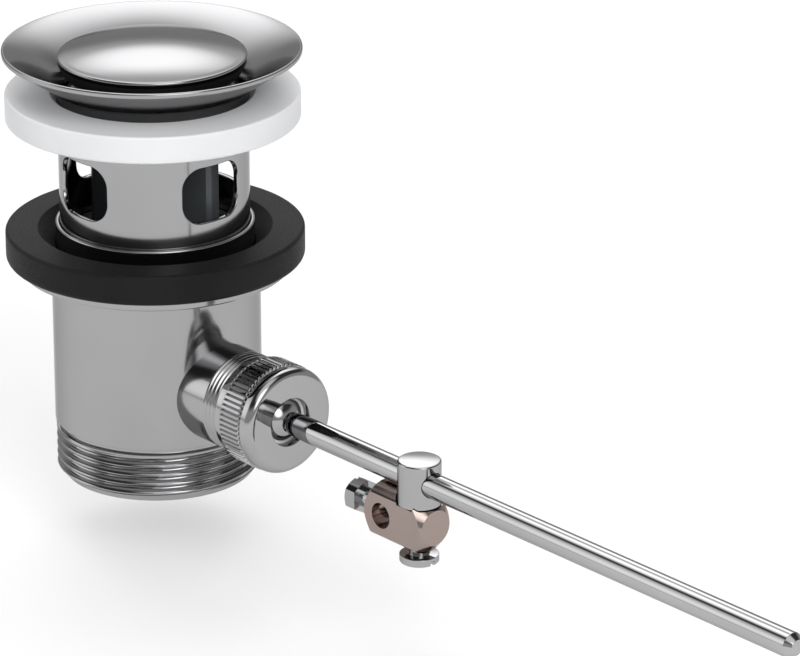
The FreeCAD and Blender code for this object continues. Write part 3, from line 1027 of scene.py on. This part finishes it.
dress(make_cup(), "waste", soft_chrome, "chrome", "waste_cup")
dress(make_washer(), "waste", white_plastic, "white_plastic", "white_washer")
dress(make_gasket(), "waste", rubber, "black_rubber", "black_gasket")
dress(make_barrel(), "waste", soft_chrome, "chrome", "waste_body")
dress(make_branch(), "waste", soft_chrome, "chrome", "waste_body")
dress(make_nut(), "waste", chrome, "chrome", "coupling_nut")
dress(make_ball(), "lever", chrome, "chrome", "pivot_ball")
dress(make_rod(), "lever", rod_chrome, "steel_rod", "lever_rod")
dress(make_cap(), "plug", soft_chrome, "chrome", "plug_cap")
dress(make_cap_stud(), "plug", chrome, "chrome", "plug_cap")
dress(make_stud(), "stud", chrome, "chrome", "clamp_stud")
dress(make_block(), "block", nickel, "nickel", "clamp_block")
dress(make_stud_screw(), "stud_screw", chrome, "chrome", "stud_screw")
dress(make_rod_screw(), "rod_screw", chrome, "chrome", "lift_rod_screw")

# Inner solids keep their own shape and get the finished materials.
kept = {
    "cup_end_seal": rubber, "ball_seal": rubber, "plug_seal": rubber,
    "inner_ball_seat": white_plastic, "outer_ball_seat": white_plastic,
    "plug_guide": dark_plastic, "inner_arm": rod_chrome,
    "plug_stem": nickel, "plug_lock_nut": nickel,
}
for node, material in kept.items():
    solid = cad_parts[node]
    solid.data.materials.clear()
    solid.data.materials.append(material)
    edges = solid.modifiers.new("edges", "BEVEL")
    edges.width = kept_bevel * MM
    edges.segments = kept_bevel_steps
    edges.angle_limit = kept_sharp
    edges.harden_normals = True


# Stage, light and camera

camera_turn = math.radians(48.5)
camera_pitch = math.radians(21.486)
camera_place = Vector((49.34, -923.98, 318.04)) * MM
frame_width = 800            # picture's width and the lens's focal length, both in pixels
focal_pixels = 4883
sensor = 36.0
nearest_seen = 0.01

floor_level = -0.090         # metres, like the floor's radius
floor_radius = 6
floor_sides = 96
floor_grey = 0.56
floor_roughness = 0.9
floor_glow = 0.42
bright_floor = (0.35, 1.0)   # metres from the waste to where the glow starts and ends to fade

# Lamps: place as the camera sees it, in metres from the object's origin, and radiance
lamp_size = (1.6, 1.2)
right_lamp = ((0.84, -1.79, 1.39), 2.9)
left_lamp = ((-1.36, -1.62, 1.22), 1.7)

# Room's lights: azimuth, elevation, inner and outer angle in degrees, then strength or share held back
overhead_light = (-5, 54, 12, 42, 2.75)
cap_light = (-3, 30, 2, 12, 2.3)
side_light = (-84, 18, 6, 26, 1.1)
front_light = (158, 28, 8, 22, 2.6)
far_light = (165, 58, 12, 34, 1.1)
cap_shade = (-3, 39, 7, 24, 0.72)

# Room's grey: strengths low and high up, and the heights on the unit sphere between which it changes
room_low = 0.5
room_high = 0.06
room_fade = (0.28, 0.52)


def make_camera():
    """Camera fitted to the photograph's view."""
    data = bpy.data.cameras.new("camera")
    data.sensor_width = sensor
    data.sensor_fit = "HORIZONTAL"
    data.lens = focal_pixels / frame_width * sensor
    data.clip_start = nearest_seen
    camera = bpy.data.objects.new("camera", data)
    camera.location = Matrix.Rotation(camera_turn, 3, "Z") @ camera_place
    camera.rotation_euler = (math.pi / 2 - camera_pitch, 0, camera_turn)
    bpy.context.scene.collection.objects.link(camera)
    bpy.context.scene.camera = camera


def make_lamp(name, place, radiance):
    """Soft box aimed at the origin, placed as the camera sees it; metal mirrors the room in its stead."""
    data = bpy.data.lights.new(name, "AREA")
    data.shape = "RECTANGLE"
    data.size, data.size_y = lamp_size
    data.energy = radiance * math.pi * data.size * data.size_y
    lamp = bpy.data.objects.new(name, data)
    aim = Vector(place).to_track_quat("Z", "Y").to_matrix().to_4x4()
    lamp.matrix_world = Matrix.Rotation(camera_turn, 4, "Z") @ Matrix.Translation(place) @ aim
    lamp.visible_camera = False
    lamp.visible_glossy = False
    bpy.context.scene.collection.objects.link(lamp)


def floor_material():
    """Pale grey that glows where it is seen or mirrored, and fades away from the object."""
    material, nodes, links = new_material("floor")
    shader = nodes["Principled BSDF"]
    shader.inputs["Roughness"].default_value = floor_roughness
    shader.inputs["Base Color"].default_value = (floor_grey, floor_grey, floor_grey, 1)
    shader.inputs["Emission Color"].default_value = (1, 1, 1, 1)
    rays = nodes.new("ShaderNodeLightPath")
    seen = rays.outputs["Is Camera Ray"]
    for ray in ("Is Glossy Ray", "Is Transmission Ray"):
        seen = joined(nodes, links, "MAXIMUM", seen, rays.outputs[ray])
    place = nodes.new("ShaderNodeTexCoord")
    length = nodes.new("ShaderNodeVectorMath")
    length.operation = "LENGTH"
    links.new(place.outputs["Object"], length.inputs[0])
    glow = ramp(nodes, links, length.outputs["Value"], floor_glow, 0, *bright_floor)
    links.new(joined(nodes, links, "MULTIPLY", glow, seen), shader.inputs["Emission Strength"])
    return material


def make_floor():
    """Wide round floor under the object."""
    bm = bmesh.new()
    bmesh.ops.create_circle(bm, cap_ends=True, segments=floor_sides, radius=floor_radius)
    mesh = bpy.data.meshes.new("floor")
    bm.to_mesh(mesh)
    bm.free()
    floor = bpy.data.objects.new("floor", mesh)
    floor.location = (0, 0, floor_level)
    bpy.context.scene.collection.objects.link(floor)
    floor.data.materials.append(floor_material())


def view_direction(azimuth, elevation):
    """Direction given in degrees from straight behind the waste towards the right, and above the level."""
    turn, rise = math.radians(azimuth), math.radians(elevation)
    seen = Vector((math.sin(turn) * math.cos(rise), math.cos(turn) * math.cos(rise), math.sin(rise)))
    return Matrix.Rotation(camera_turn, 3, "Z") @ seen


def soft_spot(nodes, links, direction, azimuth, elevation, inner, outer, value):
    """Round spot of the sky, full within one angle of its middle and gone at another."""
    near = nodes.new("ShaderNodeVectorMath")
    near.operation = "DOT_PRODUCT"
    near.inputs[1].default_value = view_direction(azimuth, elevation)
    links.new(direction, near.inputs[0])
    gone, full = math.cos(math.radians(outer)), math.cos(math.radians(inner))
    return ramp(nodes, links, near.outputs["Value"], 0, value, gone, full, smooth=True)


def make_world():
    """Studio room: grey near the horizon and dark above, with soft round lights in it."""
    world = bpy.data.worlds.new("studio")
    world.use_nodes = True
    bpy.context.scene.world = world
    nodes, links = world.node_tree.nodes, world.node_tree.links
    direction = nodes.new("ShaderNodeTexCoord").outputs["Generated"]
    overhead = soft_spot(nodes, links, direction, *overhead_light)
    unshaded = joined(nodes, links, "SUBTRACT", 1.0, soft_spot(nodes, links, direction, *cap_shade))
    overhead = joined(nodes, links, "MULTIPLY", overhead, unshaded)
    height = nodes.new("ShaderNodeSeparateXYZ")
    links.new(direction, height.inputs["Vector"])
    room = ramp(nodes, links, height.outputs["Z"], room_low, room_high, *room_fade, smooth=True)
    total = joined(nodes, links, "ADD", overhead, room)
    for light in (cap_light, side_light, front_light, far_light):
        total = joined(nodes, links, "ADD", total, soft_spot(nodes, links, direction, *light))
    links.new(total, nodes["Background"].inputs["Strength"])
    nodes["Background"].inputs["Color"].default_value = (1, 1, 1, 1)


make_camera()
make_floor()
make_world()
make_lamp("right_box", *right_lamp)
make_lamp("left_box", *left_lamp)

bpy.context.scene.view_settings.view_transform = "Standard"

bpy.context.view_layer.update()
